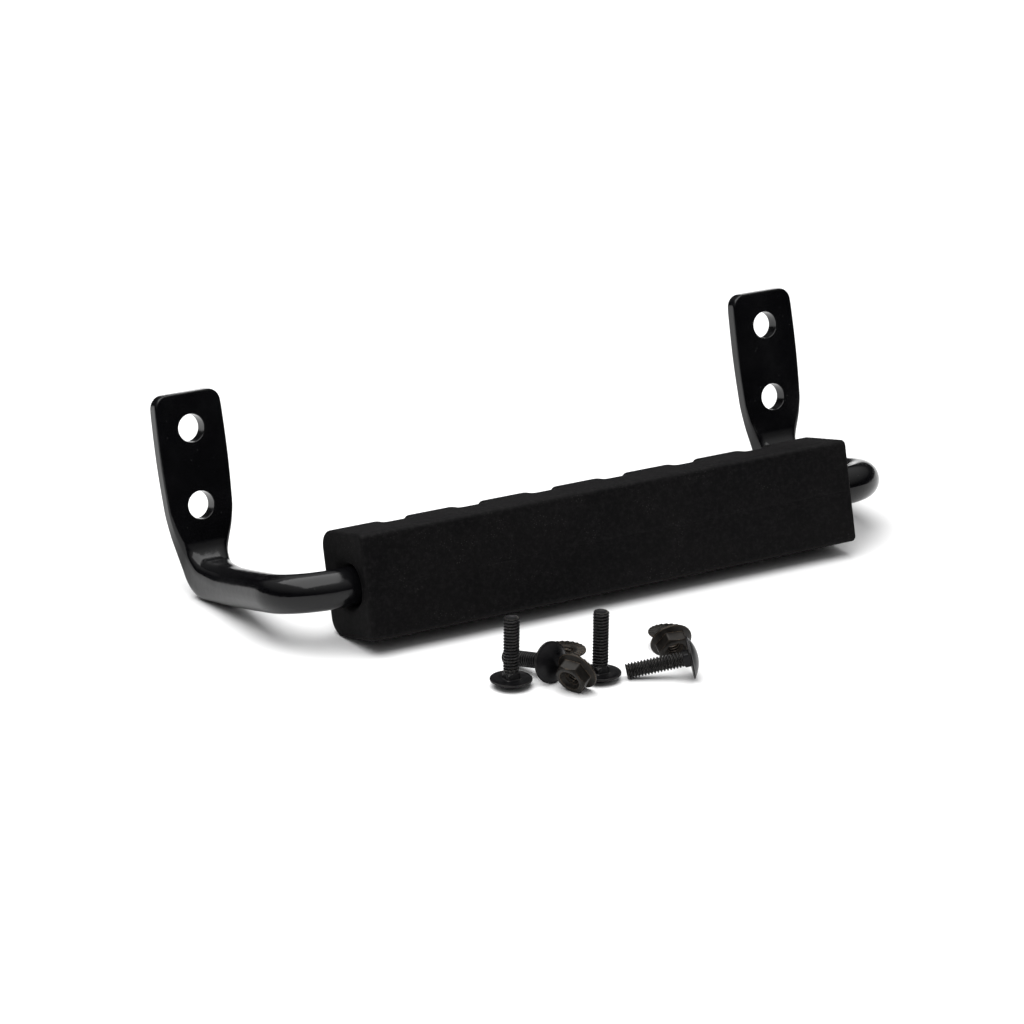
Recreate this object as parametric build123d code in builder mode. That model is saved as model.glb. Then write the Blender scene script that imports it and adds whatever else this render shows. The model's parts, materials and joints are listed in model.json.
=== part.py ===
"""Bolt-on grab handle with a finger-grooved grip, lying on a table with its loose fasteners.

Millimetres.  +X runs along the grip, +Y points to the mounting tabs, +Z is up.
The origin is on the table, under the middle of everything.
"""
import os
from math import atan, cos, degrees, radians, sin, sqrt

from build123d import *

os.makedirs("parts", exist_ok=True)

# ---- driving dimensions: the bar and its tabs ----
bar_diameter = 15.9
leg_spacing = 280.4            # between the two legs, centre to centre
bar_bend_radius = 20.0         # to the bar's centre line
tab_thickness = 6.0
tab_back = 81.3                # mounting face, behind the bar's centre line
tab_back_allowance = 0.3       # left on behind that face, then cut away to make it flat
tab_top = 79.2                 # above the bar's centre line
tab_half_width_top = 14.9
tab_corner_radius = 6.0
tab_hole_diameter = 11.6
tab_hole_heights = (32.7, 64.45)

# ---- driving dimensions: the grip ----
grip_length = 232.0
grip_height = 43.2
grip_depth = 34.9
grip_front_wall = 14.8         # front face to the bar's centre line
grip_front_edge_radius = 1.5
grip_back_edge_radius = 7.5
groove_count = 6
groove_pitch = 34.6
groove_width = 14.4
groove_depth = 7.0
bore_flare_diameter = 21.0
bore_flare_depth = 2.5
slit_width = 0.3

# ---- driving dimensions: 1/4-20 bolts and flange nuts ----
thread_diameter = 6.35
thread_pitch = 1.27
thread_depth = 0.66
thread_crest = (0.38, 0.62)    # where a crest starts and ends, as shares of the pitch
bolt_length = 25.4
tip_chamfer = 0.6
head_diameter = 16.8
head_height = 3.4
head_rim = 0.8
dome_diameter = 15.9
neck_width = 5.7
neck_height = 2.5
neck_corner_radius = 0.9
nut_flats = 12.2
nut_height = 6.8
nut_chamfer_height = 0.8
nut_chamfer_width = 1.12
nut_bore_diameter = 5.3
flange_diameter = 17.0
flange_rim = 1.0
flange_height = 2.2
serration_count = 24
serration_depth = 0.35
serration_width = 0.9
serration_inner_diameter = 10.0

# ---- how the handle rests: leaning back on the grip's lower back edge and the two bends ----
lean_angle = 14.68             # the angle at which both touch the table
table_shift = 3.5              # moves everything so that the origin is under its middle

# Standing bolts: place on the table.  Lying ones also have the heading of tip or hexagon.
standing_bolts = ((-82.5, -69.5), (-48.8, -80.9))
lying_bolts = ((-67.1, -73.2, 102.4), (-17.1, -95.9, 153.2))
lying_nuts = ((-61.4, -85.0, -155.0), (-13.3, -76.3, -103.0))
standing_nuts = ((-52.7, -60.7), (-6.8, -65.3))

leg_x = leg_spacing / 2
bar_radius = bar_diameter / 2
tab_front = tab_back - tab_thickness
rough_back = tab_back + tab_back_allowance
lean = radians(lean_angle)

grip_back = grip_depth - grip_front_wall
edge_back = grip_back - grip_back_edge_radius
edge_drop = grip_height / 2 - grip_back_edge_radius
bar_height = edge_back * sin(lean) + edge_drop * cos(lean) + grip_back_edge_radius

handle_rest = Plane(
    origin=(0, table_shift, bar_height),
    x_dir=(1, 0, 0),
    z_dir=(0, sin(lean), cos(lean)),
)


def on_handle(plane):
    """A plane given in the upright handle's own axes, leaned back as the handle rests."""
    return Plane(handle_rest.location * plane.location)


# ---- handle bar: one round bar, bent twice at each end and pressed flat into tabs ----
# Each station of the arm: inner and outer point (back, up), half width, corner radius.
leg_end = 42.0
arm_stations = (
    ((leg_end, bar_radius), (leg_end, -bar_radius), bar_radius, 7.7),
    ((53.0, 8.2), (53.0, -7.6), 8.0, 7.2),
    ((62.0, 8.9), (63.5, -6.9), 8.2, 6.2),
    ((69.5, 10.1), (73.0, -6.0), 8.5, 5.0),
    ((72.9, 12.4), (78.7, -2.4), 8.9, 3.8),
    ((74.7, 15.3), (81.2, 4.4), 9.7, 2.8),
    ((tab_front, 18.8), (rough_back, 12.0), 11.2, 1.9),
    ((tab_front, 24.5), (rough_back, 21.5), 13.2, 1.4),
    ((tab_front, 32.0), (rough_back, 32.0), 14.5, 1.2),
    ((tab_front, 55.5), (rough_back, 55.5), 15.5, 1.2),
    ((tab_front, tab_top), (rough_back, tab_top), tab_half_width_top, 1.2),
)
# The arm is lofted in three spans that share their end stations.
bend_end, tab_start = 4, 8
arm_spans = (arm_stations[: bend_end + 1], arm_stations[bend_end : tab_start + 1], arm_stations[tab_start:])


def arm_plane(side, inner, outer):
    """The cutting plane of one arm section, with its local Y from the outer to the inner side."""
    middle = ((inner[0] + outer[0]) / 2, (inner[1] + outer[1]) / 2)
    along = (inner[0] - outer[0], inner[1] - outer[1])
    normal = (0, along[1], -along[0])
    plane = Plane(origin=(side * leg_x, middle[0], middle[1]), x_dir=(1, 0, 0), z_dir=normal)
    return on_handle(plane)


def distance(first, second):
    return sqrt((first[0] - second[0]) ** 2 + (first[1] - second[1]) ** 2)


mounting_plane = on_handle(Plane.XZ.offset(-tab_back))
cut_margin = 0.35              # how far a cut's outline stands clear of the sides it leaves
tab_width = 2 * tab_half_width_top + 2 * cut_margin


def tab_corner_waste(side):
    """What is cut away above a tab to leave its two top corners round."""
    with BuildSketch(mounting_plane) as waste:
        with Locations((side * leg_x, tab_top)):
            Rectangle(tab_width + 2 * tab_corner_radius, 2 * tab_corner_radius)
        with BuildSketch(mode=Mode.PRIVATE) as kept:
            with Locations((side * leg_x, tab_top)):
                Rectangle(tab_width, tab_width, align=(Align.CENTER, Align.MAX))
            fillet(kept.vertices().sort_by(Axis.Y)[-2:], tab_corner_radius)
        add(kept.sketch_local, mode=Mode.SUBTRACT)
    return waste.sketch


bar_start = Plane(origin=(-leg_x, leg_end, 0), x_dir=(1, 0, 0), z_dir=(0, -1, 0))

with BuildPart() as handle_bar:
    with BuildLine(on_handle(Plane.XY)) as bar_line:
        FilletPolyline(
            (-leg_x, leg_end),
            (-leg_x, 0),
            (leg_x, 0),
            (leg_x, leg_end),
            radius=bar_bend_radius,
        )
    with BuildSketch(on_handle(bar_start)):
        Circle(bar_radius)
    sweep(path=bar_line.line)

    for side in (-1, 1):
        for stations in arm_spans:
            for inner, outer, half_width, corner in stations:
                with BuildSketch(arm_plane(side, inner, outer)):
                    RectangleRounded(2 * half_width, distance(inner, outer), corner)
            loft()

    for side in (-1, 1):
        extrude(tab_corner_waste(side), amount=2 * tab_thickness, both=True, mode=Mode.SUBTRACT)
    with BuildSketch(mounting_plane):
        for side in (-1, 1):
            with Locations((side * leg_x, tab_top / 2)):
                Rectangle(3 * tab_half_width_top, 2 * tab_top)
    extrude(amount=-tab_thickness, mode=Mode.SUBTRACT)
    with BuildSketch(mounting_plane):
        for side in (-1, 1):
            for height in tab_hole_heights:
                with Locations((side * leg_x, height)):
                    Circle(tab_hole_diameter / 2)
    extrude(amount=2 * tab_thickness, both=True, mode=Mode.SUBTRACT)

handle_bar.part.label = "handle_bar"
export_step(handle_bar.part, "parts/handle_bar.step")


# ---- hand grip: moulded rubber, bored for the bar, slit along its front, grooved behind ----
def grip_outline(along, back_face):
    """Outline across the grip at a distance along the bar, with its back face where stated."""
    with BuildSketch(on_handle(Plane.YZ.offset(along))) as outline:
        with Locations((back_face, 0)):
            depth = back_face + grip_front_wall
            Rectangle(depth, grip_height, align=(Align.MAX, Align.CENTER))
        fillet(outline.vertices().sort_by(Axis.X)[-2:], grip_back_edge_radius)
        fillet(outline.vertices().sort_by(Axis.X)[:2], grip_front_edge_radius)
    return outline.sketch


with BuildPart() as hand_grip:
    extrude(grip_outline(-grip_length / 2, grip_back - groove_depth), amount=grip_length)
    outer_groove = (groove_count - 1) / 2 * groove_pitch
    land_edge = outer_groove + groove_width / 2
    for start in (-grip_length / 2, land_edge):
        extrude(grip_outline(start, grip_back), amount=grip_length / 2 - land_edge)
    for index in range(groove_count - 1):
        start = index * groove_pitch - outer_groove + groove_width / 2
        extrude(grip_outline(start, grip_back), amount=groove_pitch - groove_width)
    with BuildSketch(on_handle(Plane.YZ)):
        Circle(bar_radius)
        Rectangle(grip_front_wall, slit_width, align=(Align.MAX, Align.CENTER))
    extrude(amount=grip_length / 2, both=True, mode=Mode.SUBTRACT)
    flare_angle = degrees(atan((bore_flare_diameter / 2 - bar_radius) / bore_flare_depth))
    for side in (-1, 1):
        face = Plane(origin=(side * grip_length / 2, 0, 0), x_dir=(0, 1, 0), z_dir=(-side, 0, 0))
        with BuildSketch(on_handle(face)):
            Circle(bore_flare_diameter / 2)
        extrude(amount=bore_flare_depth, taper=flare_angle, mode=Mode.SUBTRACT)

hand_grip.part.label = "hand_grip"
export_step(hand_grip.part, "parts/hand_grip.step")


# ---- fasteners ----
thread_radius = thread_diameter / 2
head_radius = head_diameter / 2
flange_radius = flange_diameter / 2
nut_corner_radius = nut_flats / sqrt(3)


def thread_outline(inner_radius, outer_radius, start, end):
    """Half outline of a rod with one ridge for each turn of the thread."""
    turns = int((end - start - tip_chamfer) / thread_pitch)
    points = [(0, start), (inner_radius, start)]
    for turn in range(turns):
        height = end - tip_chamfer - (turns - turn) * thread_pitch
        points.append((inner_radius, height))
        for share in thread_crest:
            points.append((outer_radius, height + share * thread_pitch))
    points.append((inner_radius, end - tip_chamfer))
    points.append((inner_radius, end))
    points.append((0, end))
    Polyline(*points, close=True)


def half_plane(seat):
    """Plane through a seat's axis: local X is the radius and local Y is the axis."""
    return Plane(origin=seat.origin, x_dir=seat.x_dir, z_dir=-seat.y_dir)


def seat_axis(seat):
    return Axis(seat.origin, seat.z_dir)


def carriage_bolt(seat):
    """Bolt whose seat is the underside of its head, with +Z towards the tip."""
    with BuildPart() as bolt:
        with BuildSketch(half_plane(seat)):
            with BuildLine():
                dome_start = (dome_diameter / 2, -head_rim)
                Polyline((0, 0), (head_radius, 0), (head_radius, -head_rim), dome_start)
                TangentArc((0, -head_height), dome_start, tangent=(1, 0))
                Line((0, -head_height), (0, 0))
            make_face()
        revolve(axis=seat_axis(seat))
        with BuildSketch(seat):
            RectangleRounded(neck_width, neck_width, neck_corner_radius)
        extrude(amount=neck_height)
        with BuildSketch(half_plane(seat)):
            with BuildLine():
                thread_outline(thread_radius - thread_depth, thread_radius, neck_height, bolt_length)
            make_face()
        revolve(axis=seat_axis(seat))
    return bolt


def flange_nut(seat):
    """Nut whose seat is the serrated face of its flange, with +Z towards the hexagon."""
    with BuildPart() as nut:
        with BuildSketch(seat):
            RegularPolygon(nut_flats / 2, 6, major_radius=False)
        extrude(amount=nut_height)
        with BuildSketch(half_plane(seat)):
            with BuildLine():
                Polyline(
                    (0, 0),
                    (nut_corner_radius, 0),
                    (nut_corner_radius, nut_height - nut_chamfer_height),
                    (nut_corner_radius - nut_chamfer_width, nut_height),
                    (0, nut_height),
                    close=True,
                )
            make_face()
        revolve(axis=seat_axis(seat), mode=Mode.INTERSECT)
        with BuildSketch(half_plane(seat)):
            with BuildLine():
                Polyline(
                    (0, 0),
                    (flange_radius, 0),
                    (flange_radius, flange_rim),
                    (nut_flats / 2, flange_height),
                    (0, flange_height),
                    close=True,
                )
            make_face()
        revolve(axis=seat_axis(seat))
        with BuildSketch(half_plane(seat)):
            with BuildLine():
                bore_end = nut_height + 2 * thread_pitch
                thread_outline(nut_bore_diameter / 2, thread_radius, -thread_pitch, bore_end)
            make_face()
        revolve(axis=seat_axis(seat), mode=Mode.SUBTRACT)
        with BuildSketch(seat):
            with PolarLocations(serration_inner_diameter / 2, serration_count):
                Rectangle(flange_radius, serration_width, align=(Align.MIN, Align.CENTER))
        extrude(amount=serration_depth, mode=Mode.SUBTRACT)
    return nut


def lying_seat(x, y, heading, tilt, height):
    """Seat of a fastener that lies on its rim, its axis dipping towards the heading."""
    ahead = radians(heading)
    axis = (cos(ahead) * cos(tilt), sin(ahead) * cos(tilt), -sin(tilt))
    across = (-sin(ahead), cos(ahead), 0)
    return Plane(origin=(x, y + table_shift, height), x_dir=across, z_dir=axis)


def upright_seat(x, y, height, up):
    return Plane(origin=(x, y + table_shift, height), x_dir=(1, 0, 0), z_dir=(0, 0, up))


def bolt_seats():
    for x, y in standing_bolts:
        yield upright_seat(x, y, head_height, 1)
    last_crest = bolt_length - tip_chamfer - thread_crest[0] * thread_pitch
    tilt = atan((head_radius - thread_radius) / last_crest)
    height = head_radius * cos(tilt)
    for x, y, heading in lying_bolts:
        yield lying_seat(x, y, heading, tilt, height)


def nut_seats():
    chamfered = (nut_corner_radius - nut_flats / 2) / nut_chamfer_width
    flat_end = nut_height - (1 - chamfered) * nut_chamfer_height
    tilt = atan((flange_radius - nut_flats / 2) / (flat_end - flange_rim))
    height = flange_radius * cos(tilt) + flange_rim * sin(tilt)
    for x, y, heading in lying_nuts:
        yield lying_seat(x, y, heading, tilt, height)
    for x, y in standing_nuts:
        yield upright_seat(x, y, nut_height, -1)


for number, bolt_seat in enumerate(bolt_seats(), start=1):
    fastener = carriage_bolt(bolt_seat)
    fastener.part.label = f"carriage_bolt_{number}"
    export_step(fastener.part, f"parts/carriage_bolt_{number}.step")

for number, nut_seat in enumerate(nut_seats(), start=1):
    fastener = flange_nut(nut_seat)
    fastener.part.label = f"flange_nut_{number}"
    export_step(fastener.part, f"parts/flange_nut_{number}.step")
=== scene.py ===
"""Looks of a bolt-on grab handle and its loose bolts and nuts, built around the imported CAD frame.

Metres in the row frame: +X along the grip, +Y from the grip to the tabs, +Z up from the table.
Each piece is shaped in millimetres in its own axes, then set in place by its matrix.
"""
import json
from math import atan, cos, hypot, pi, radians, sin, sqrt, tau

import bpy
from mathutils import Matrix, Vector


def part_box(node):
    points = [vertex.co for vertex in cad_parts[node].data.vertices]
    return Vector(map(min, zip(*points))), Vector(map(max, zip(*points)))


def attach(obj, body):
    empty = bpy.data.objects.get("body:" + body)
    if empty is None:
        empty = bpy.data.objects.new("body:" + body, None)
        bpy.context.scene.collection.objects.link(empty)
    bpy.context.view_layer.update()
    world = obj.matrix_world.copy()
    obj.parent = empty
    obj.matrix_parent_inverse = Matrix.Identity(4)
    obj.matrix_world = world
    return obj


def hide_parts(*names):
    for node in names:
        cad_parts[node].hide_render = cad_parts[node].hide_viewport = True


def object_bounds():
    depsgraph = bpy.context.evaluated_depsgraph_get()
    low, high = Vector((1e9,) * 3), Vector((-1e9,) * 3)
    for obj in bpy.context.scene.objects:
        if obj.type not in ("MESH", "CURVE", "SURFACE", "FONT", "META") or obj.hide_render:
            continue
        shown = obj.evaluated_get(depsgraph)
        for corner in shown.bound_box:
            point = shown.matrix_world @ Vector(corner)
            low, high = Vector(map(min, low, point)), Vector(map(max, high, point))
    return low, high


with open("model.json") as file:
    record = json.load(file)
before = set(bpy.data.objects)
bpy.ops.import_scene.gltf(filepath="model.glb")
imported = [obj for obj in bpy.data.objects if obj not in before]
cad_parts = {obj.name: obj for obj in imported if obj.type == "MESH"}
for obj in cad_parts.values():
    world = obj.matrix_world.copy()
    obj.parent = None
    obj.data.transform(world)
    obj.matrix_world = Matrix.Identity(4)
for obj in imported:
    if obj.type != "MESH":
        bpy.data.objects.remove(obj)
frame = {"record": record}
cad_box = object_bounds()

MM = 0.001

# ---- the handle's own axes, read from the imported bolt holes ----
mounts = {mount["name"]: mount for mount in frame["record"]["mounts"]}
left_low, left_high, right_low = (
    Vector(mounts[name]["pos_m"])
    for name in ("left_lower_bolt_hole", "left_upper_bolt_hole", "right_lower_bolt_hole")
)
across = (right_low - left_low).normalized()
upward = (left_high - left_low).normalized()
backward = upward.cross(across)
hole_back, hole_height = 78.3, 32.7          # of the lower holes, from the bar's centre line
bar_middle = (left_low + right_low) / 2 - MM * (hole_back * backward + hole_height * upward)
handle_axes = Matrix((across, backward, upward)).transposed().to_4x4()
handle_place = Matrix.Translation(bar_middle) @ handle_axes @ Matrix.Scale(MM, 4)

# ---- driving dimensions, in millimetres ----
bar_radius = 7.95
bar_corner = 7.9                             # corner radius of its sections, all but round
bar_bend_radius = 20.0
bar_steps = 24                               # along each bend and along the straight bar
leg_x = 140.2
flattening_start = 36.0                      # how far back the leg stops being round
tab_thickness = 6.0
tab_front = 75.3
tab_back = 81.3
tab_top = 79.2
tab_half_width = 14.9
tab_corner_radius = 5.6
tab_top_edge = 0.5                           # how far its top edge is softened
tab_corner_steps = 10
station_steps = 6                            # filled in between two sections of an arm
tab_hole_radius = 5.8
hole_bevel = 0.2
hole_columns = 72
plug_overlap = 1.0                           # how far a hole's plug stands out of the tab
tab_hole_heights = (32.7, 64.45)

grip_length = 232.0
grip_top = 21.6
grip_front = -14.8
grip_back = 20.1
grip_front_radius = 2.4
grip_back_radius = 7.5
grip_end_radius = 1.4
groove_count = 6
groove_pitch = 34.6
groove_width = 14.4
groove_depth = 7.0
groove_lip_radius = 1.1
groove_floor_radius = 2.6
groove_floor_lead = 1.5                      # flat floor kept in front of that radius
bore_radius = 8.02
bore_flare_length = 2.5
bore_flare_width = 2.4
bore_flare_power = 1.6
slit_half_width = 0.03
slit_lip = 0.06
slit_bevel = 0.02
slit_depth = 0.1                             # how deep its two walls are shaped
slit_steps = 12
front_edge_steps = 14
back_edge_steps = 12
face_steps = 12
back_steps = 8
end_edge_steps = 5
end_shares = (0.2, 0.4, 0.6, 0.8)            # of the way from the outline to the bore, on each end
land_step = 2.0                              # between sections where the grip doesn't change

thread_radius = 3.175
thread_root = 2.45
thread_pitch = 1.27
thread_crest_width = 0.24                    # as shares of the pitch
thread_root_width = 0.1
bolt_length = 25.4
tip_chamfer = 0.6
tip_slope = 0.65                             # how fast the tip narrows along that chamfer
head_radius = 8.4
head_rim = 0.8
head_height = 3.4
dome_radius = 7.95
head_lower_edge = 0.25                       # radii of the rim's two edges
head_upper_edge = 0.2
head_seat_width = 1.1                        # level ring round the head's underside
head_seat_step = 0.25                        # where that ring slopes down into the dip
head_dip = 0.07                              # how deep the underside dips inside the ring
head_dip_inner_radius = 4.9
dome_step = 0.08                             # small step from the dome to the rim
neck_half_width = 2.85
neck_height = 2.5
neck_corner = 0.9
neck_foot = 1.36                             # the foot's radius, as a share of the neck's half width
neck_top_radius = 3.05
thread_gap = 0.15                            # plain stretch between neck and thread
thread_lead_share = 0.55                     # ridge height where the thread starts
tip_profile = ((2.6, 0.0), (2.3, 0.02), (1.9, 0.14), (1.5, 0.3), (0.8, 0.36), (0.1, 0.36))

nut_flat = 6.1
nut_corner = nut_flat / cos(pi / 6)
nut_height = 6.8
nut_chamfer_height = 0.8
nut_chamfer_width = 1.12
flange_radius = 8.5
flange_rim = 1.0
flange_top = 2.2
serration_count = 24
serration_depth = 0.35
serration_inner_radius = 5.0
serration_rise_share = 0.75                  # gentle side of each tooth
nut_bore_radius = 2.65
bore_start = 0.75                            # where the thread begins above the serrated face
bore_fade = 0.5                              # over which the thread fades out at both ends
countersink_radius = 4.4
countersink_depth = 1.5
hexagon_corner_cut = 0.12                    # how much its corners are softened
hexagon_base = 0.15                          # how far it reaches into the flange


# ---- mesh helpers ----
def arc(middle, radius, start, end, steps):
    """Points of a circular arc, in degrees, from its start to its end."""
    points = []
    for step in range(steps + 1):
        angle = radians(start + (end - start) * step / steps)
        points.append((middle[0] + radius * cos(angle), middle[1] + radius * sin(angle)))
    return points


def between(start, end, steps):
    """Evenly spaced points on a line, without its two ends."""
    points = []
    for step in range(1, steps):
        share = step / steps
        points.append(tuple(a + (b - a) * share for a, b in zip(start, end)))
    return points


def make_piece(name, points, faces, place, sharp_angle=40):
    """A mesh object from points in millimetres, smooth except along its sharp edges."""
    mesh = bpy.data.meshes.new(name)
    mesh.from_pydata([place @ Vector(point) for point in points], [], faces)
    mesh.validate()
    mesh.shade_smooth()
    mesh.set_sharp_from_angle(angle=radians(sharp_angle))
    piece = bpy.data.objects.new(name, mesh)
    bpy.context.scene.collection.objects.link(piece)
    return piece


def lathe(rings, closed):
    """Points and faces of a skin over rings of equal length; an open one is capped at its two ends."""
    count = len(rings[0])
    points = [point for ring in rings for point in ring]
    faces = []
    spans = len(rings) if closed else len(rings) - 1
    for index in range(spans):
        here = index * count
        there = (index + 1) % len(rings) * count
        for column in range(count):
            after = (column + 1) % count
            faces.append((here + column, here + after, there + after, there + column))
    if not closed:
        faces.append(tuple(reversed(range(count))))
        faces.append(tuple(range(len(points) - count, len(points))))
    return points, faces


# ---- handle bar: round sections along the bend line, then sections pressed flat into the tabs ----
# Inner (back, up), outer (back, up), half width and corner radius, from the leg to the tab's top.
arm_stations = (
    (bar_bend_radius, bar_radius, bar_bend_radius, -bar_radius, bar_radius, bar_corner),
    (flattening_start, bar_radius, flattening_start, -bar_radius, bar_radius, bar_corner),
    (53.0, 8.1, 53.0, -7.7, 8.0, 7.2),
    (62.0, 8.9, 63.5, -6.9, 8.2, 6.2),
    (69.5, 10.1, 73.0, -6.0, 8.5, 5.0),
    (72.9, 12.4, 78.7, -2.4, 8.9, 3.8),
    (74.7, 15.3, 81.2, 4.4, 9.7, 2.8),
    (tab_front, 18.8, tab_back, 12.0, 11.2, 1.9),
    (tab_front, 24.5, tab_back, 21.5, 13.2, 1.4),
    (tab_front, 32.0, tab_back, 32.0, 14.5, 1.1),
    (tab_front, 55.5, tab_back, 55.5, 15.25, 1.1),
    (tab_front, tab_top, tab_back, tab_top, tab_half_width, 1.1),
)


def bar_section(half_width, half_height, corner):
    """A rounded rectangle round its middle, with the same count of points for every size."""
    side, top = half_height - corner, half_width - corner
    quarter = [(half_width, side * share) for share in (0.0, 0.35, 0.7)]
    quarter += arc((top, side), corner, 0, 90, 8)
    quarter += [(top * share, half_height) for share in (0.7, 0.35)]
    upper_left = [(-u, v) for u, v in reversed(quarter)]
    lower_left = [(-u, -v) for u, v in quarter[1:]]
    lower_right = [(u, -v) for u, v in reversed(quarter[1:])]
    return quarter + [(0.0, half_height)] + upper_left + lower_left + [(0.0, -half_height)] + lower_right


def station_gap(first, second):
    """Distance between the middles of two stations."""
    back = second[0] + second[2] - first[0] - first[2]
    up = second[1] + second[3] - first[1] - first[3]
    return hypot(back, up) / 2


def station_slopes(stations):
    """How fast each value changes at each station, so that no curve runs past a station."""
    secants = []
    for first, second in zip(stations, stations[1:]):
        gap = station_gap(first, second)
        secants.append([(b - a) / gap for a, b in zip(first, second)])
    slopes = [secants[0]]
    for before, after in zip(secants, secants[1:]):
        slopes.append([2 * a * b / (a + b) if a * b > 0 else 0.0 for a, b in zip(before, after)])
    slopes.append(secants[-1])
    return slopes


def cubic(first, second, leave, arrive, share):
    """Value at a share of the way between two values, with the rates of change at both."""
    value = first + leave * share
    value += (3 * (second - first) - 2 * leave - arrive) * share**2
    return value + (2 * (first - second) + leave + arrive) * share**3


def smooth_between(stations, steps):
    """Stations filled in along smooth curves that never overshoot a station."""
    slopes = station_slopes(stations)
    filled = [stations[0]]
    for index, (first, second) in enumerate(zip(stations, stations[1:])):
        gap = station_gap(first, second)
        for step in range(1, steps + 1):
            row = []
            for a, b, leave, arrive in zip(first, second, slopes[index], slopes[index + 1]):
                row.append(cubic(a, b, leave * gap, arrive * gap, step / steps))
            filled.append(tuple(row))
    return filled


def rounded_top(station, below):
    """The tab's section at a height below its top, narrowed by the round corners."""
    inset = tab_corner_radius - sqrt(tab_corner_radius**2 - (tab_corner_radius - below) ** 2)
    thin = tab_top_edge * max(0.0, 1 - below / tab_top_edge) ** 2
    front, _, back, _, half_width, corner = station
    height = tab_top - below
    return (front + thin, height, back - thin, height, half_width - inset, corner - thin)


def arm_rings(side):
    """Rings of one arm, from its leg to the top of its tab."""
    stations = smooth_between(arm_stations, station_steps)
    kept = [station for station in stations if station[1] < tab_top - tab_corner_radius]
    for step in range(tab_corner_steps + 1):
        below = tab_corner_radius * (1 - sin(pi / 2 * step / tab_corner_steps))
        kept.append(rounded_top(stations[-1], below))
    rings = []
    for inner_back, inner_up, outer_back, outer_up, half_width, corner in kept:
        middle = ((inner_back + outer_back) / 2, (inner_up + outer_up) / 2)
        half = ((inner_back - outer_back) / 2, (inner_up - outer_up) / 2)
        half_height = hypot(*half)
        along = (half[0] / half_height, half[1] / half_height)
        ring = []
        for u, v in bar_section(half_width, half_height, min(corner, half_height)):
            ring.append((side * (leg_x - u), middle[0] + along[0] * v, middle[1] + along[1] * v))
        rings.append(ring)
    return rings


def bend_points(side, start):
    """(x, back, angle) round one bend, without its two ends; it starts at an angle in degrees."""
    points = []
    for step in range(1, bar_steps):
        angle = radians(start + 90 * step / bar_steps)
        x = side * (leg_x - bar_bend_radius) + bar_bend_radius * cos(angle)
        points.append((x, bar_bend_radius * (1 + sin(angle)), angle))
    return points


def bend_rings():
    """Rings round the left bend, along the bar, and round the right bend."""
    end = leg_x - bar_bend_radius
    straight = [(end * (2 * step / bar_steps - 1), 0.0, radians(270)) for step in range(bar_steps + 1)]
    rings = []
    for x, y, angle in bend_points(-1, 180) + straight + bend_points(1, 270):
        ring = []
        for u, v in bar_section(bar_radius, bar_radius, bar_corner):
            ring.append((x - u * cos(angle), y - u * sin(angle), v))
        rings.append(ring)
    return rings


def plug_rings(side, height):
    """Rings of the plug for one bolt hole; its two ends widen to bevel the rims."""
    half = tab_thickness / 2
    end, wide = half + plug_overlap, hole_bevel + plug_overlap
    rings = []
    for along, wider in ((-end, wide), (hole_bevel - half, 0.0), (half - hole_bevel, 0.0), (end, wide)):
        reach = tab_hole_radius + wider
        y = tab_front + half + along
        ring = []
        for column in range(hole_columns):
            angle = -tau * column / hole_columns
            ring.append((side * leg_x + reach * cos(angle), y, height + reach * sin(angle)))
        rings.append(ring)
    return rings


def make_hole_plugs():
    """The plugs for all four bolt holes, as one mesh."""
    all_points, all_faces = [], []
    for side in (-1, 1):
        for height in tab_hole_heights:
            points, faces = lathe(plug_rings(side, height), closed=False)
            start = len(all_points)
            all_points += points
            all_faces += [tuple(corner + start for corner in face) for face in faces]
    return make_piece("hole_plugs", all_points, all_faces, handle_place)


def make_bar():
    """The bar's skin from tab to tab, with its four bolt holes cut by the plugs."""
    rings = list(reversed(arm_rings(-1))) + bend_rings() + arm_rings(1)
    points, faces = lathe(rings, closed=False)
    piece = make_piece("painted_bar", points, faces, handle_place)
    plugs = make_hole_plugs()
    cut = piece.modifiers.new("bolt_holes", "BOOLEAN")
    cut.object = plugs
    cut.operation = "DIFFERENCE"
    cut.solver = "EXACT"
    view = bpy.context.evaluated_depsgraph_get()
    drilled = bpy.data.meshes.new_from_object(piece.evaluated_get(view))
    piece.modifiers.clear()
    piece.data = drilled
    drilled.shade_smooth()
    drilled.set_sharp_from_angle(angle=radians(35))
    bpy.data.objects.remove(plugs)
    return piece


# ---- hand grip: a closed skin, its outline open at the slit ----
def grip_outline(back_face, inset):
    """Outline across the grip, (back, up), from just above the slit round to just below it."""
    front, top, back = grip_front + inset, grip_top - inset, back_face - inset
    front_radius = grip_front_radius - inset
    back_radius = grip_back_radius - inset
    lip = (front, slit_half_width + slit_lip)
    front_arc = arc((front + front_radius, top - front_radius), front_radius, 180, 90, front_edge_steps)
    back_arc = arc((back - back_radius, top - back_radius), back_radius, 90, 0, back_edge_steps)
    upper = [(front + slit_depth, slit_half_width)]
    upper += [(front + slit_bevel, slit_half_width + slit_bevel), lip]
    upper += between(lip, front_arc[0], slit_steps) + front_arc
    upper += between(front_arc[-1], back_arc[0], face_steps) + back_arc
    upper += between(back_arc[-1], (back, 0), back_steps)
    lower = [(y, -z) for y, z in reversed(upper)]
    return upper + [(back, 0)] + lower


def groove_profile():
    """(distance from a groove's middle, depth) from its floor out to the face, walls nearly upright."""
    half = groove_width / 2
    lip, foot = groove_lip_radius, groove_floor_radius
    floor = [(0.0, groove_depth), (half - foot - groove_floor_lead, groove_depth)]
    floor_arc = arc((half - foot, groove_depth - foot), foot, 90, 0, 6)
    lip_arc = arc((half + lip, lip), lip, 180, 270, 4)
    return floor + floor_arc + lip_arc


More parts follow.
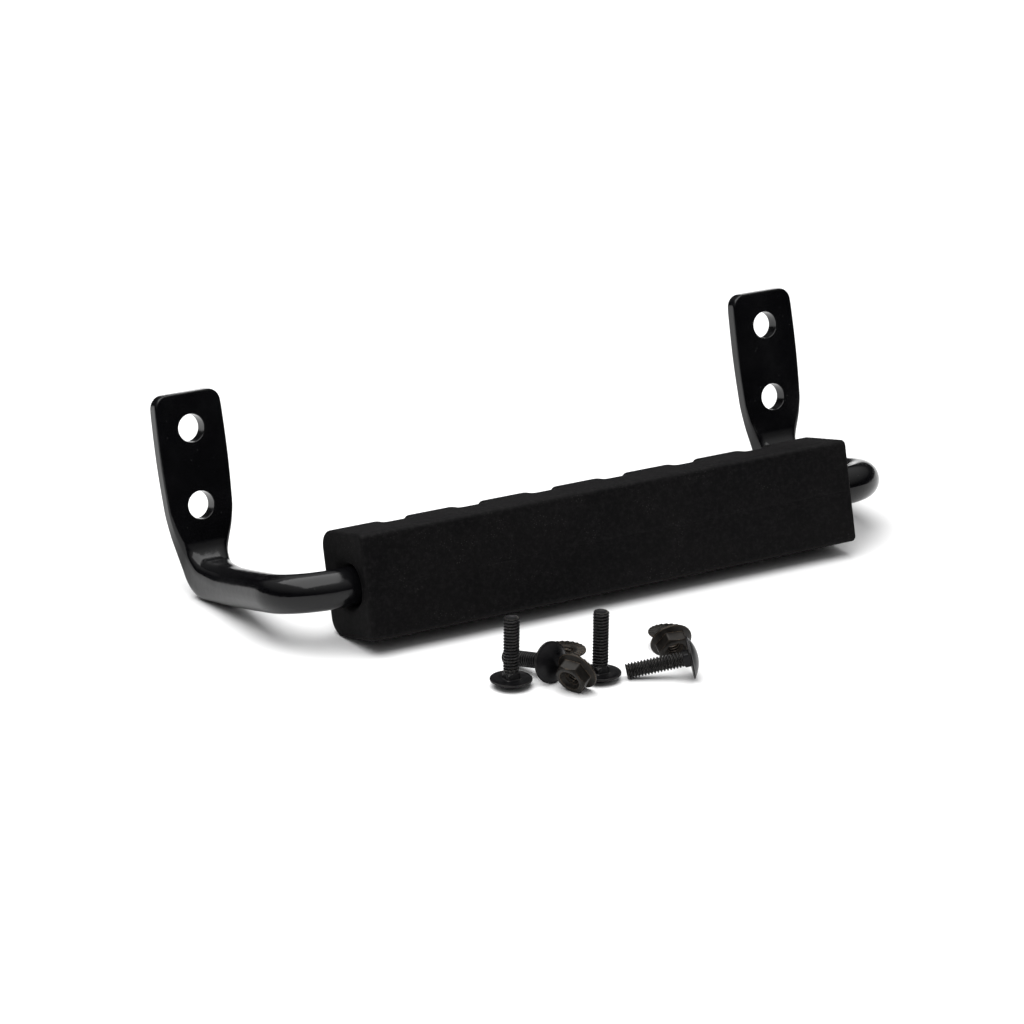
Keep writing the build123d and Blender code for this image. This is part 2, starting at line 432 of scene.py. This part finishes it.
def groove_stations():
    """(place along the grip, back face) down into and out of every groove."""
    profile = groove_profile()
    stations = []
    for index in range(groove_count):
        middle = (index - (groove_count - 1) / 2) * groove_pitch
        stations += [(middle - distance, grip_back - depth) for distance, depth in reversed(profile)]
        stations += [(middle + distance, grip_back - depth) for distance, depth in profile[1:]]
    return stations


def filled_lands(stations):
    """The same stations, with more where two of them are far apart."""
    filled = []
    for first, second in zip(stations, stations[1:]):
        filled.append(first)
        gap = second[0] - first[0]
        if gap > 1.5 * land_step:
            filled += between(first, second, int(gap / land_step) + 1)
    return filled + [stations[-1]]


def grip_stations():
    """(place along the grip, back face, inset, bore radius) from its left end to its right end."""
    end = grip_length / 2
    lands = filled_lands(groove_stations())
    left = (-end + bore_flare_length, grip_back)
    right = (end - bore_flare_length, grip_back)
    to_left, to_right = between(left, lands[0], back_steps), between(lands[-1], right, back_steps)
    rounded = arc((grip_end_radius, grip_end_radius), grip_end_radius, 180, 270, end_edge_steps)
    rows = [(-end + depth, grip_back, inset) for depth, inset in rounded]
    rows += [(x, back, 0.0) for x, back in [left] + to_left + lands + to_right + [right]]
    rows += [(end - depth, grip_back, inset) for depth, inset in reversed(rounded)]
    stations = []
    for x, back, inset in rows:
        into = (bore_flare_length - (end - abs(x))) / bore_flare_length
        flare = bore_flare_width * max(0.0, into) ** bore_flare_power
        stations.append((x, back, inset, bore_radius + flare))
    return stations


def end_rings(outside, inside):
    """Rings across one end of the grip, between its outline and its bore."""
    rings = []
    for share in end_shares:
        ring = []
        for a, b in zip(outside, inside):
            ring.append(tuple(p + (q - p) * share for p, q in zip(a, b)))
        rings.append(ring)
    return rings


def slit_faces(count, total, column, width, flip):
    """One wall of the slit, which joins the outline to the bore along one column of points."""
    bore = count + len(end_shares)
    loops = []
    for index in range(count - 1):
        opposite = bore + count - 1 - index
        loops.append((index, index + 1, opposite - 1, opposite))
    loops.append([count - 1] + list(range(count, bore)) + [bore])
    loops.append([bore + count - 1] + list(range(bore + count, total)) + [0])
    faces = []
    for loop in loops:
        corners = tuple(ring * width + column for ring in loop)
        faces.append(tuple(reversed(corners)) if flip else corners)
    return faces


def make_grip():
    """The grip's outline, right end, bore and left end as one loop of rings, and the slit's two walls."""
    outer, inner = [], []
    for x, back, inset, radius in grip_stations():
        outline = grip_outline(back, inset)
        outer.append([(x, y, z) for y, z in outline])
        inner.append([(x, y / hypot(y, z) * radius, z / hypot(y, z) * radius) for y, z in outline])
    rings = outer + end_rings(outer[-1], inner[-1])
    rings += list(reversed(inner)) + end_rings(inner[0], outer[0])
    total, width = len(rings), len(rings[0])
    points = [point for ring in rings for point in ring]
    faces = []
    for index in range(total):
        here, there = index * width, (index + 1) % total * width
        for column in range(width - 1):
            faces.append((here + column, there + column, there + column + 1, here + column + 1))
    faces += slit_faces(len(outer), total, 0, width, flip=True)
    faces += slit_faces(len(outer), total, width - 1, width, flip=False)
    piece = make_piece("rubber_grip", points, faces, handle_place)
    piece.shadow_terminator_geometry_offset = 0.3
    piece.shadow_terminator_shading_offset = 0.15
    return piece


# ---- fasteners: skins over rings of points ----
bolt_columns = 48                            # points round each ring
nut_columns = 144
rows_per_turn = 12                           # rings for each turn of the thread


def thread_share(phase):
    """Height of the thread's ridge, 0 to 1, at a phase of one turn."""
    away = abs(phase % 1.0 - 0.5)
    rise = 0.5 - (thread_crest_width + thread_root_width) / 2
    return min(1.0, max(0.0, (0.5 - thread_root_width / 2 - away) / rise))


def ring_at(columns, height, radius_at):
    """A ring at one height; radius_at gives the radius for an angle in radians."""
    ring = []
    for column in range(columns):
        angle = tau * column / columns
        radius = radius_at(angle)
        ring.append((radius * cos(angle), radius * sin(angle), height))
    return ring


def polygon_radius(angle, sides, apothem):
    """Distance from the middle of a regular polygon to its side, with a corner at angle 0."""
    sector = tau / sides
    return apothem / cos((angle % sector) - sector / 2)


def neck_radius(angle):
    """A square with rounded corners, its flats facing the two axes."""
    reach = neck_half_width / max(abs(cos(angle)), abs(sin(angle)))
    corner_middle = neck_half_width - neck_corner
    diagonal = hypot(corner_middle, corner_middle)
    turned = (angle % (pi / 2)) - pi / 4
    inside = neck_corner**2 - (diagonal * sin(turned)) ** 2
    if inside > 0:
        reach = min(reach, diagonal * cos(turned) + sqrt(inside))
    return reach


def circles(columns, profile):
    """Round rings from (radius, height) points."""
    return [ring_at(columns, height, lambda angle: radius) for radius, height in profile]


def head_profile():
    """(radius, height) from the middle of the dome, round the rim, to the foot of the neck."""
    dome_rise = head_height - head_rim
    sphere = (dome_radius**2 + dome_rise**2) / (2 * dome_rise)
    profile = []
    for share in (0.02, 0.12, 0.25, 0.4, 0.55, 0.7, 0.82, 0.92, 0.98):
        radius = dome_radius * share
        profile.append((radius, -head_height + sphere - sqrt(sphere**2 - radius**2)))
    profile += [(dome_radius, -head_rim - 0.06), (dome_radius + dome_step, -head_rim)]
    lower, upper = head_lower_edge, head_upper_edge
    profile += arc((head_radius - lower, -head_rim + lower), lower, -90, 0, 4)
    profile += arc((head_radius - upper, -upper), upper, 0, 90, 4)
    seat = head_radius - head_seat_width
    profile += [(seat, 0.0), (seat - head_seat_step, -head_dip)]
    return profile + [(head_dip_inner_radius, -0.05), (neck_half_width * neck_foot, 0.0)]


def neck_rings():
    """Rings up the square neck, which swells a little at its foot."""
    rings = []
    for swell, height in ((1.1, 0.04), (1.03, 0.18), (1.0, 0.5), (1.0, neck_height - 0.35)):
        rings.append(ring_at(bolt_columns, height, lambda angle: neck_radius(angle) * swell))
    rings.append(ring_at(bolt_columns, neck_height, lambda angle: min(neck_radius(angle), neck_top_radius)))
    return rings


def bolt_thread_rings():
    """Rings up the helical thread, which starts softly and narrows at the tip."""
    start = neck_height + thread_gap
    depth = thread_radius - thread_root
    rows = int((bolt_length - start) / thread_pitch * rows_per_turn)
    rings = []
    for row in range(rows + 1):
        height = start + (bolt_length - start) * row / rows
        fade = min(1.0, (height - start) / thread_pitch)
        limit = thread_radius - max(0.0, height - (bolt_length - tip_chamfer)) * tip_slope

        def radius_at(angle):
            ridge = thread_share(height / thread_pitch - angle / tau)
            share = thread_lead_share + (ridge - thread_lead_share) * fade
            return min(limit, thread_root + depth * share)

        rings.append(ring_at(bolt_columns, height, radius_at))
    return rings


def make_bolt(name, place):
    """Carriage bolt: the head's underside is at height 0 and the tip points up."""
    rings = circles(bolt_columns, head_profile()) + neck_rings() + bolt_thread_rings()
    rings += circles(bolt_columns, [(radius, bolt_length - depth) for radius, depth in tip_profile])
    points, faces = lathe(rings, closed=False)
    return make_piece(name, points, faces, place, sharp_angle=50)


def serrated_ring(radius, share):
    """A ring of the flange's face: each tooth rises gently and drops steeply."""
    ring = []
    for column in range(nut_columns):
        angle = tau * column / nut_columns
        tooth = angle / tau * serration_count % 1.0
        if tooth < serration_rise_share:
            rise = tooth / serration_rise_share
        else:
            rise = (1 - tooth) / (1 - serration_rise_share)
        depth = serration_depth * (1 - rise) * share
        ring.append((radius * cos(angle), radius * sin(angle), depth))
    return ring


def flange_rings():
    """Rings from the bore, across the serrated face and round the rim, to the hexagon's foot."""
    rings = circles(nut_columns, [(3.55, 0.35), (4.4, 0.3)])
    rings.append(serrated_ring(serration_inner_radius, 0.7))
    rings += [serrated_ring(radius, 1.0) for radius in (5.6, 6.4, 7.3, flange_radius - 0.2)]
    rim = [(flange_radius, 0.42), (flange_radius, flange_rim - 0.25)]
    rim += [(flange_radius - 0.08, flange_rim - 0.05), (flange_radius - 0.3, flange_rim + 0.06)]
    return rings + circles(nut_columns, rim + [(7.75, flange_rim + 0.3), (7.3, flange_rim + 0.5)])


def hexagon_ring(height):
    """Hexagon with softened corners, cut back by the cone that chamfers its end."""
    past = max(0.0, height - (nut_height - nut_chamfer_height))
    cone = nut_corner - hexagon_corner_cut - past * nut_chamfer_width / nut_chamfer_height
    return ring_at(nut_columns, height, lambda angle: min(polygon_radius(angle, 6, nut_flat), cone))


def hexagon_rings():
    """Rings up the hexagon and over its chamfer into the countersink."""
    low, high = flange_top - hexagon_base, nut_height - nut_chamfer_height - 0.2
    foot, top = low + 0.3, nut_height - 0.08
    heights = [low, foot] + [foot + (high - foot) * row / 5 for row in range(1, 6)]
    heights += [high + (top - high) * row / 6 for row in range(1, 7)]
    end = [(nut_corner - nut_chamfer_width - 0.25, nut_height), (countersink_radius + 0.2, nut_height)]
    end.append((countersink_radius, nut_height - 0.06))
    end.append((thread_radius + 0.25, nut_height - countersink_depth))
    return [hexagon_ring(height) for height in heights] + circles(nut_columns, end)


def nut_thread_rings():
    """Rings down the bore's helical thread, which fades out at both ends."""
    top = nut_height - countersink_depth - 0.1
    rows = int((top - bore_start) / thread_pitch * rows_per_turn)
    rings = []
    for row in range(rows + 1):
        height = top - (top - bore_start) * row / rows
        fade = min(1.0, min(top - height, height - bore_start) / bore_fade)

        def radius_at(angle):
            ridge = thread_share(height / thread_pitch - angle / tau)
            return thread_radius - (thread_radius - nut_bore_radius) * ridge * fade

        rings.append(ring_at(nut_columns, height, radius_at))
    return rings


def make_nut(name, place):
    """Flange nut: its serrated face is at height 0 and the hexagon points up."""
    rings = flange_rings() + hexagon_rings() + nut_thread_rings()
    points, faces = lathe(list(reversed(rings)), closed=True)
    return make_piece(name, points, faces, place, sharp_angle=35)


# ---- where each fastener lies: upright at its node's middle, or lying with its axis dipping ahead ----
bolt_headings = {"carriage_bolt_3": 102.4, "carriage_bolt_4": 153.2}
nut_headings = {"flange_nut_1": -155.0, "flange_nut_2": -103.0}
crest_place = 0.38                           # of the last crest, as a share of the pitch
bolt_tilt = atan((head_radius - thread_radius) / (bolt_length - tip_chamfer - crest_place * thread_pitch))
chamfered = (nut_corner - nut_flat) / nut_chamfer_width
flat_end = nut_height - (1 - chamfered) * nut_chamfer_height
nut_tilt = atan((flange_radius - nut_flat) / (flat_end - flange_rim))


def lying_axes(heading, tilt):
    """Axes of a lying fastener: Z ahead and down, X level."""
    ahead = radians(heading)
    axis = Vector((cos(ahead) * cos(tilt), sin(ahead) * cos(tilt), -sin(tilt)))
    level = Vector((-sin(ahead), cos(ahead), 0))
    return Matrix((level, axis.cross(level), axis)).transposed().to_4x4()


def centre_in_node(piece, node):
    """Moves a new mesh so that the middle of its box is the middle of its CAD node's box."""
    low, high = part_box(node)
    corners = [vertex.co for vertex in piece.data.vertices]
    least = Vector(tuple(min(corner[axis] for corner in corners) for axis in range(3)))
    most = Vector(tuple(max(corner[axis] for corner in corners) for axis in range(3)))
    shift = (low + high) / 2 - (least + most) / 2
    piece.data.transform(Matrix.Translation(shift))


# ---- materials ----
def new_material(name):
    """A node material with its shader and the object's own coordinates."""
    material = bpy.data.materials.new(name)
    material.use_nodes = True
    nodes = material.node_tree.nodes
    shader = nodes["Principled BSDF"]
    coordinates = nodes.new("ShaderNodeTexCoord")
    return material, nodes, material.node_tree.links, shader, coordinates.outputs["Object"]


def noise(nodes, links, where, scale, detail=4.0, roughness=0.55):
    """A noise pattern, 0 to 1; its scale is in cells for each metre."""
    texture = nodes.new("ShaderNodeTexNoise")
    texture.inputs["Scale"].default_value = scale
    texture.inputs["Detail"].default_value = detail
    texture.inputs["Roughness"].default_value = roughness
    links.new(where, texture.inputs["Vector"])
    return texture.outputs["Fac"]


def remap(nodes, links, value, low, high, new_low, new_high):
    """Clamped map of one range of values to another."""
    node = nodes.new("ShaderNodeMapRange")
    for name, number in (("From Min", low), ("From Max", high), ("To Min", new_low), ("To Max", new_high)):
        node.inputs[name].default_value = number
    links.new(value, node.inputs["Value"])
    return node.outputs["Result"]


def mix_colour(nodes, links, share, first, second):
    """Blend of two colours; each is a colour or a socket."""
    node = nodes.new("ShaderNodeMix")
    node.data_type = "RGBA"
    links.new(share, node.inputs["Factor"])
    for socket, colour in ((node.inputs["A"], first), (node.inputs["B"], second)):
        if isinstance(colour, tuple):
            socket.default_value = (*colour, 1.0)
        else:
            links.new(colour, socket)
    return node.outputs["Result"]


def combine(nodes, links, operation, first, second):
    """One operation on two values; each is a number or a socket."""
    node = nodes.new("ShaderNodeMath")
    node.operation = operation
    for socket, value in zip(node.inputs, (first, second)):
        if isinstance(value, float):
            socket.default_value = value
        else:
            links.new(value, socket)
    return node.outputs["Value"]


def bump(nodes, links, height, strength, distance, base=None):
    """A normal turned by a height pattern, on top of another normal where one is given."""
    node = nodes.new("ShaderNodeBump")
    node.inputs["Strength"].default_value = strength
    node.inputs["Distance"].default_value = distance
    links.new(height, node.inputs["Height"])
    if base is not None:
        links.new(base, node.inputs["Normal"])
    return node.outputs["Normal"]


def specks(nodes, links, where, scale, size):
    """Scattered round specks, 1 at the middle of each and 0 outside."""
    cells = nodes.new("ShaderNodeTexVoronoi")
    cells.inputs["Scale"].default_value = scale
    links.new(where, cells.inputs["Vector"])
    return remap(nodes, links, cells.outputs["Distance"], size * 0.5, size, 1.0, 0.0)


# mask for the fasteners' edges and crests painted lighter: partly wear, partly painted highlight
def edge_wear_and_highlight_mask(nodes, links, radius, low, high):
    """1 on outer edges and 0 on faces, from how far a rounded normal turns away."""
    bevel = nodes.new("ShaderNodeBevel")
    bevel.inputs["Radius"].default_value = radius
    geometry = nodes.new("ShaderNodeNewGeometry")
    dot = nodes.new("ShaderNodeVectorMath")
    dot.operation = "DOT_PRODUCT"
    links.new(bevel.outputs["Normal"], dot.inputs[0])
    links.new(geometry.outputs["Normal"], dot.inputs[1])
    return remap(nodes, links, dot.outputs["Value"], low, high, 1.0, 0.0)


def gloss_paint():
    """Black gloss powder coat: faint orange peel, dulled patches and a few specks of dust."""
    material, nodes, links, shader, where = new_material("gloss_black_paint")
    patches = noise(nodes, links, where, 45.0, 5.0, 0.6)
    peel = noise(nodes, links, where, 420.0, 2.0, 0.5)
    fine = noise(nodes, links, where, 1500.0, 2.0, 0.5)
    dust = specks(nodes, links, where, 260.0, 0.06)
    tint = mix_colour(nodes, links, remap(nodes, links, patches, 0.35, 0.7, 0.0, 1.0),
                      (0.0012, 0.0012, 0.0016), (0.003, 0.003, 0.0035))
    tint = mix_colour(nodes, links, combine(nodes, links, "MULTIPLY", dust, 0.5), tint, (0.09, 0.09, 0.09))
    links.new(tint, shader.inputs["Base Color"])
    rough = remap(nodes, links, patches, 0.3, 0.75, 0.1, 0.22)
    links.new(rough, shader.inputs["Roughness"])
    relief = bump(nodes, links, peel, 0.25, 0.00022)
    links.new(bump(nodes, links, fine, 0.08, 0.00008, relief), shader.inputs["Normal"])
    shader.inputs["Specular IOR Level"].default_value = 0.24
    shader.inputs["Coat Weight"].default_value = 0.05
    shader.inputs["Coat Roughness"].default_value = 0.09
    return material


def matte_rubber():
    """Moulded black rubber: fine grain, faint smears and pale dust."""
    material, nodes, links, shader, where = new_material("matte_black_rubber")
    smears = noise(nodes, links, where, 30.0, 6.0, 0.65)
    mottle = noise(nodes, links, where, 520.0, 6.0, 0.8)
    grain = noise(nodes, links, where, 1900.0, 3.0, 0.6)
    dust = specks(nodes, links, where, 900.0, 0.22)
    gate = remap(nodes, links, noise(nodes, links, where, 60.0), 0.5, 0.62, 0.0, 1.0)
    tint = mix_colour(nodes, links, remap(nodes, links, smears, 0.4, 0.7, 0.0, 1.0),
                      (0.0014, 0.0013, 0.0016), (0.0048, 0.0044, 0.0046))
    pale = remap(nodes, links, mottle, 0.46, 0.72, 0.0, 0.75)
    tint = mix_colour(nodes, links, pale, tint, (0.0125, 0.0115, 0.0122))
    dusty = combine(nodes, links, "MULTIPLY", combine(nodes, links, "MULTIPLY", dust, gate), 0.6)
    tint = mix_colour(nodes, links, dusty, tint, (0.05, 0.047, 0.047))
    links.new(tint, shader.inputs["Base Color"])
    links.new(remap(nodes, links, smears, 0.3, 0.75, 0.55, 0.78), shader.inputs["Roughness"])
    shader.inputs["Specular IOR Level"].default_value = 0.09
    relief = bump(nodes, links, mottle, 0.2, 0.0003)
    links.new(bump(nodes, links, grain, 0.35, 0.00012, relief), shader.inputs["Normal"])
    return material


def black_oxide():
    """Oiled black oxide on the bolts: satin, with crests and edges a little brighter, partly rubbed-through
    wear and partly painted highlight.
    """
    material, nodes, links, shader, where = new_material("black_oxide_steel")
    patches = noise(nodes, links, where, 300.0, 5.0, 0.6)
    grain = noise(nodes, links, where, 2600.0, 3.0, 0.6)
    edges = edge_wear_and_highlight_mask(nodes, links, 0.00018, 0.9, 0.999)
    wear_and_highlight = combine(nodes, links, "MULTIPLY", edges, remap(nodes, links, patches, 0.3, 0.65, 0.25, 1.0))
    tint = mix_colour(nodes, links, remap(nodes, links, patches, 0.35, 0.7, 0.0, 1.0),
                      (0.003, 0.003, 0.0038), (0.008, 0.0075, 0.008))
    # painted highlight and wear: crests and edges mixed toward a pale steel colour
    tint = mix_colour(nodes, links, combine(nodes, links, "MULTIPLY", wear_and_highlight, 0.85), tint, (0.3, 0.285, 0.26))
    links.new(tint, shader.inputs["Base Color"])
    links.new(remap(nodes, links, patches, 0.3, 0.7, 0.26, 0.42), shader.inputs["Roughness"])
    shader.inputs["Metallic"].default_value = 0.35
    shader.inputs["Specular IOR Level"].default_value = 0.22
    links.new(bump(nodes, links, grain, 0.25, 0.00006), shader.inputs["Normal"])
    return material


def brown_oxide():
    """Dark grey-brown oxide on the nuts, painted a lighter coppery tone along the edges: partly
    rubbed-through wear, partly painted highlight.
    """
    material, nodes, links, shader, where = new_material("brown_oxide_steel")
    patches = noise(nodes, links, where, 380.0, 6.0, 0.65)
    grain = noise(nodes, links, where, 2600.0, 3.0, 0.6)
    edges = edge_wear_and_highlight_mask(nodes, links, 0.00028, 0.9, 0.995)
    wear_and_highlight = combine(nodes, links, "MULTIPLY", edges, remap(nodes, links, patches, 0.3, 0.6, 0.2, 1.0))
    tint = mix_colour(nodes, links, remap(nodes, links, patches, 0.35, 0.7, 0.0, 1.0),
                      (0.007, 0.0062, 0.0054), (0.018, 0.0155, 0.013))
    # painted highlight and wear: edges mixed toward a coppery colour
    tint = mix_colour(nodes, links, combine(nodes, links, "MULTIPLY", wear_and_highlight, 0.75), tint, (0.20, 0.14, 0.09))
    links.new(tint, shader.inputs["Base Color"])
    links.new(remap(nodes, links, patches, 0.3, 0.7, 0.3, 0.5), shader.inputs["Roughness"])
    shader.inputs["Metallic"].default_value = 0.5
    shader.inputs["Specular IOR Level"].default_value = 0.22
    links.new(bump(nodes, links, grain, 0.3, 0.00007), shader.inputs["Normal"])
    return material


paint, rubber, bolt_steel, nut_steel = gloss_paint(), matte_rubber(), black_oxide(), brown_oxide()

# ---- put the pieces in place ----
bar = make_bar()
bar.data.materials.append(paint)
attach(bar, "handle")
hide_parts("handle_bar")

grip = make_grip()
grip.data.materials.append(rubber)
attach(grip, "handle")
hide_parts("hand_grip")

upside_down = Matrix.Rotation(pi, 4, "X")
for number in range(1, 5):
    node = f"carriage_bolt_{number}"
    axes = Matrix.Identity(4)
    if node in bolt_headings:
        axes = lying_axes(bolt_headings[node], bolt_tilt)
    bolt = make_bolt(f"bolt_{number}_threaded", axes @ Matrix.Scale(MM, 4))
    centre_in_node(bolt, node)
    bolt.data.materials.append(bolt_steel)
    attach(bolt, f"bolt_{number}")
    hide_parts(node)

for number in range(1, 5):
    node = f"flange_nut_{number}"
    axes = upside_down
    if node in nut_headings:
        axes = lying_axes(nut_headings[node], nut_tilt)
    nut = make_nut(f"nut_{number}_serrated", axes @ Matrix.Scale(MM, 4))
    centre_in_node(nut, node)
    nut.data.materials.append(nut_steel)
    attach(nut, f"nut_{number}")
    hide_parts(node)


# ---- studio: pale floor, soft lights, and the camera ----
def make_floor():
    """A wide pale floor in squares, level with the table."""
    half, squares = 12.0, 24
    points, faces = [], []
    for row in range(squares + 1):
        for column in range(squares + 1):
            points.append((half * (2 * column / squares - 1), half * (2 * row / squares - 1), 0.0))
    for row in range(squares):
        for column in range(squares):
            corner = row * (squares + 1) + column
            faces.append((corner, corner + 1, corner + squares + 2, corner + squares + 1))
    table = make_piece("studio_floor", points, faces, Matrix.Identity(4))
    material, nodes, links, shader, where = new_material("pale_floor")
    cloud = noise(nodes, links, where, 3.0)
    tint = mix_colour(nodes, links, cloud, (0.9, 0.9, 0.9), (0.93, 0.93, 0.93))
    links.new(tint, shader.inputs["Base Color"])
    shader.inputs["Roughness"].default_value = 0.6
    shader.inputs["Specular IOR Level"].default_value = 0.2
    table.data.materials.append(material)


def add_softbox(name, place, aim, width, height, power):
    """A rectangular light of a size in metres and a power in watts, facing a point."""
    data = bpy.data.lights.new(name, "AREA")
    data.shape = "RECTANGLE"
    data.size = width
    data.size_y = height
    data.energy = power
    lamp = bpy.data.objects.new(name, data)
    lamp.location = place
    lamp.rotation_euler = (Vector(aim) - Vector(place)).to_track_quat("-Z", "Y").to_euler()
    bpy.context.scene.collection.objects.link(lamp)


def make_world():
    """Pale overhead, dim near the horizon."""
    world = bpy.data.worlds.new("studio")
    bpy.context.scene.world = world
    world.use_nodes = True
    nodes, links = world.node_tree.nodes, world.node_tree.links
    coordinates = nodes.new("ShaderNodeTexCoord")
    split = nodes.new("ShaderNodeSeparateXYZ")
    links.new(coordinates.outputs["Generated"], split.inputs["Vector"])
    height = remap(nodes, links, split.outputs["Z"], 0.25, 0.85, 0.0, 1.0)
    colour = mix_colour(nodes, links, height, (0.035, 0.035, 0.037), (1.0, 1.0, 1.0))
    links.new(colour, nodes["Background"].inputs["Color"])
    nodes["Background"].inputs["Strength"].default_value = 0.9


def make_camera():
    """The photograph's viewing angle: from the left, looking down a little."""
    turn, tilt, roll = radians(30.98), radians(20.43), radians(0.66)
    distance, lens = 1.808, 156.1            # metres and millimetres
    aim_offset = Vector((-0.0328, 0.01656, -0.0048))
    aim = (cad_box[0] + cad_box[1]) / 2 + aim_offset
    level_right = Vector((cos(turn), -sin(turn), 0))
    level_ahead = Vector((sin(turn), cos(turn), 0))
    up_axis = Vector((0, 0, 1))
    ahead = level_ahead * cos(tilt) - up_axis * sin(tilt)
    above = level_ahead * sin(tilt) + up_axis * cos(tilt)
    right = level_right * cos(roll) + above * sin(roll)
    above = above * cos(roll) - level_right * sin(roll)
    data = bpy.data.cameras.new("photo_camera")
    data.lens = lens
    data.clip_start, data.clip_end = 0.05, 60
    camera = bpy.data.objects.new("photo_camera", data)
    axes = Matrix((right, above, -ahead)).transposed().to_4x4()
    camera.matrix_world = Matrix.Translation(aim - ahead * distance) @ axes
    bpy.context.scene.collection.objects.link(camera)
    bpy.context.scene.camera = camera


make_floor()
make_world()
add_softbox("overhead_softbox", (-0.25, 0.1, 1.35), (0, 0.05, 0), 2.0, 1.6, 32)
make_camera()
bpy.context.scene.view_settings.view_transform = "Standard"
